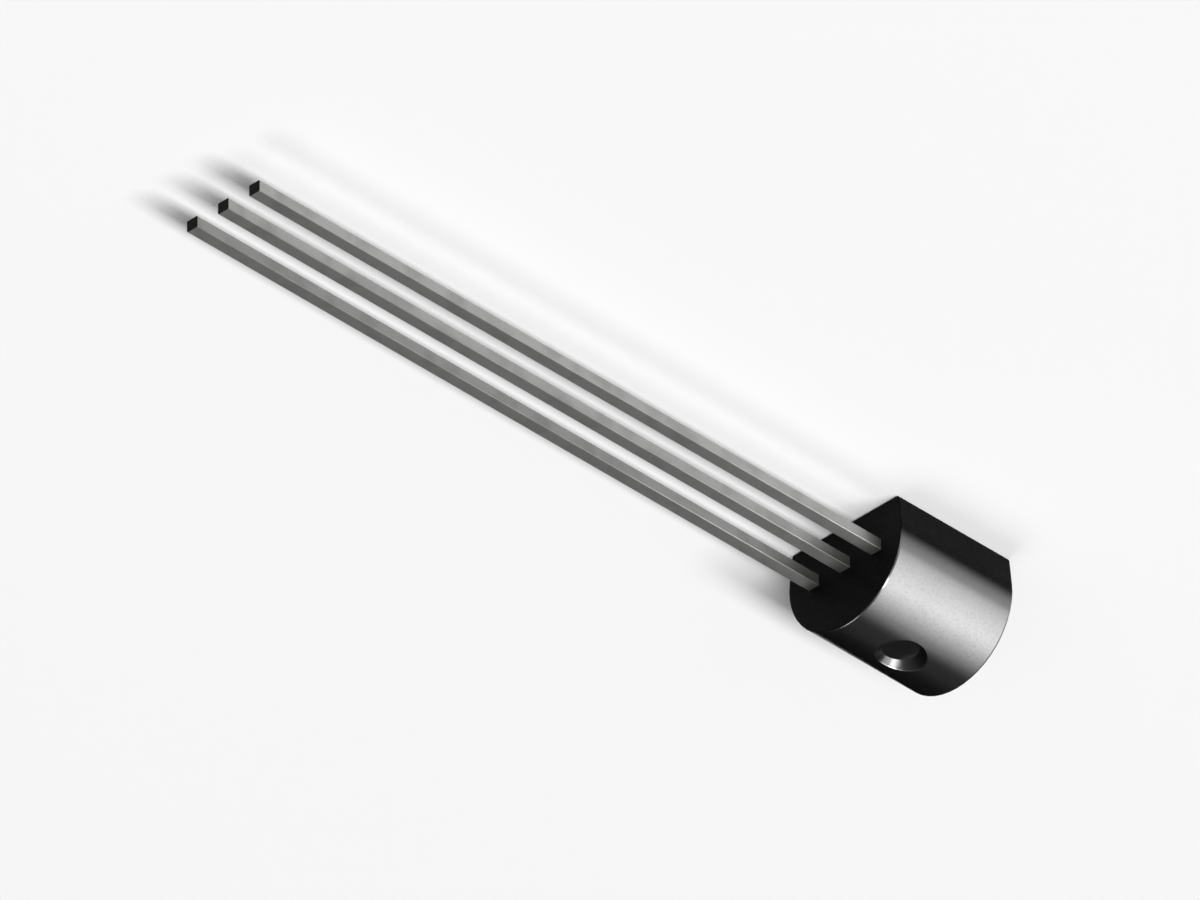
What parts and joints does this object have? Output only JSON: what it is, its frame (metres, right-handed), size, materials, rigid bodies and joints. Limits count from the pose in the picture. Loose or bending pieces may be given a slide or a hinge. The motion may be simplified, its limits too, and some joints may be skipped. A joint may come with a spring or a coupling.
{
  "type": "transistor",
  "caption": "Through-hole transistor: a black D-shaped moulded case with a flat front and a round back, on a row of long straight tinned leads.",
  "frame": {"origin": "centre of the middle lead's section where it leaves the case, on the seating end of the case", "axes": "+X along the leads towards their tips, Y along the row of leads, +Z from the flat face to the round back, so the part lies on its flat face"},
  "size_m": [0.03, 0.0046, 0.0035],
  "materials": {
    "case_epoxy": "black moulded epoxy, semi-gloss",
    "lead_tin": "satin tin plate on a stamped copper-alloy strip",
    "die_silicon": "polished silicon",
    "die_solder": "dull solder",
    "bond_gold": "bright gold wire"
  },
  "bodies": {
    "root": {"case": "case_epoxy", "collector_lead": "lead_tin", "base_lead": "lead_tin", "emitter_lead": "lead_tin", "silicon_die": "die_silicon", "die_solder": "die_solder", "base_bond_wire": "bond_gold", "emitter_bond_wire": "bond_gold"}
  },
  "joints": []
}
